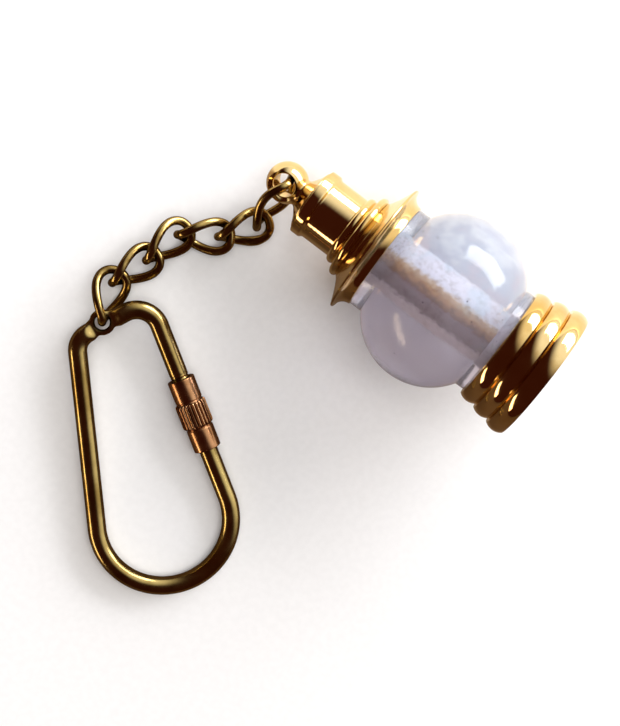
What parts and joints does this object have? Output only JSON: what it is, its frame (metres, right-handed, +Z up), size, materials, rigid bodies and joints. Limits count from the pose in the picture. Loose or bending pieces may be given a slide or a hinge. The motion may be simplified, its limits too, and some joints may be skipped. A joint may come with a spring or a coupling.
{
  "type": "keychain light",
  "caption": "Keychain light shaped like a small ship's lantern, with a twisted-link chain and a screw-lock clip.",
  "frame": {"origin": "under the middle of the whole object's box, on the surface that it lies on", "axes": "+Z up from the surface; +X from the lantern's cap towards its base, seen from above; +Y across the lantern, away from the clip"},
  "size_m": [0.0639, 0.0788, 0.0284],
  "materials": {
    "polished_brass": "polished, lacquered",
    "antique_brass": "antiqued, semi-bright",
    "copper_brass": "turned, satin",
    "frosted_acrylic": "frosted",
    "clear_epoxy": "clear",
    "tinned_wire": "tinned",
    "glass_fibre_board": "matt",
    "black_nylon": "moulded",
    "white_nylon": "moulded",
    "cell_steel": "plated",
    "spring_steel": "bright",
    "nitrile_rubber": "matt"
  },
  "bodies": {
    "lantern": {"finial": "polished_brass", "cap": "polished_brass", "globe": "frosted_acrylic", "thread_collar": "polished_brass", "seal_ring": "nitrile_rubber", "led_holder": "white_nylon", "led": "clear_epoxy", "led_lead_long": "tinned_wire", "led_lead_short": "tinned_wire", "contact_board": "glass_fibre_board"},
    "cell_carrier": {"cell_tray": "black_nylon", "upper_cell": "cell_steel", "lower_cell": "cell_steel", "contact_spring": "spring_steel"},
    "base": {"base_cup": "polished_brass"},
    "link_1": {"chain_link_1": "antique_brass"},
    "link_2": {"chain_link_2": "antique_brass"},
    "link_3": {"chain_link_3": "antique_brass"},
    "link_4": {"chain_link_4": "antique_brass"},
    "link_5": {"chain_link_5": "antique_brass"},
    "link_6": {"chain_link_6": "antique_brass"},
    "clip": {"clip_loop": "antique_brass"},
    "sleeve": {"gate_sleeve": "copper_brass"},
    "knurl": {"knurl_ring": "copper_brass"}
  },
  "joints": [
    {"name": "base_advance", "type": "slide", "parent": "lantern", "child": "cell_carrier", "axis": [0.972, 0, 0.235], "range_m": [0, 0.00375]},
    {"name": "base_turn", "type": "hinge", "parent": "cell_carrier", "child": "base", "pos_m": [0.02953, 0.02574, 0.018], "axis": [0.972, 0, 0.235], "range_deg": [0, 1800]},
    {"name": "link_1_swing", "type": "hinge", "parent": "lantern", "child": "link_1", "pos_m": [-0.01747, 0.02661, 0.00713], "axis": [-0.2035, -0.5, 0.8418], "range_deg": [-40, 12]},
    {"name": "link_2_lift", "type": "hinge", "parent": "link_1", "child": "link_2", "pos_m": [-0.01576, 0.0196, 0.00296], "axis": [0.809, -0.5878, 0], "range_deg": [-12, 25]},
    {"name": "link_3_swing", "type": "hinge", "parent": "link_2", "child": "link_3", "pos_m": [-0.02058, 0.01296, 0.00296], "axis": [0, 0, 1], "range_deg": [-30, 30]},
    {"name": "link_4_lift", "type": "hinge", "parent": "link_3", "child": "link_4", "pos_m": [-0.0252, 0.01135, 0.00296], "axis": [0.9744, -0.225, 0], "range_deg": [-25, 6]},
    {"name": "link_5_swing", "type": "hinge", "parent": "link_4", "child": "link_5", "pos_m": [-0.02705, 0.00336, 0.00296], "axis": [0, 0, -1], "range_deg": [-30, 30]},
    {"name": "link_6_lift", "type": "hinge", "parent": "link_5", "child": "link_6", "pos_m": [-0.02985, -0.00066, 0.00296], "axis": [0.9205, 0.3907, 0], "range_deg": [-25, 6]},
    {"name": "clip_swing", "type": "hinge", "parent": "link_6", "child": "clip", "pos_m": [-0.02664, -0.0082, 0.00296], "axis": [0, 0, 1], "range_deg": [-45, 12]},
    {"name": "sleeve_advance", "type": "slide", "parent": "clip", "child": "sleeve", "axis": [-0.8527, 0.5207, 0.0414], "range_m": [0, 0.0065]},
    {"name": "knurl_turn", "type": "hinge", "parent": "sleeve", "child": "knurl", "pos_m": [-0.00678, -0.01105, 0.00254], "axis": [-0.8527, 0.5207, 0.0414], "range_deg": [0, 4680]}
  ],
  "couplings": [
    {"joint": "base_advance", "follows": "base_turn", "m_per_rad": 0.00011937},
    {"joint": "knurl_turn", "follows": "sleeve_advance", "rad_per_m": 12566}
  ]
}
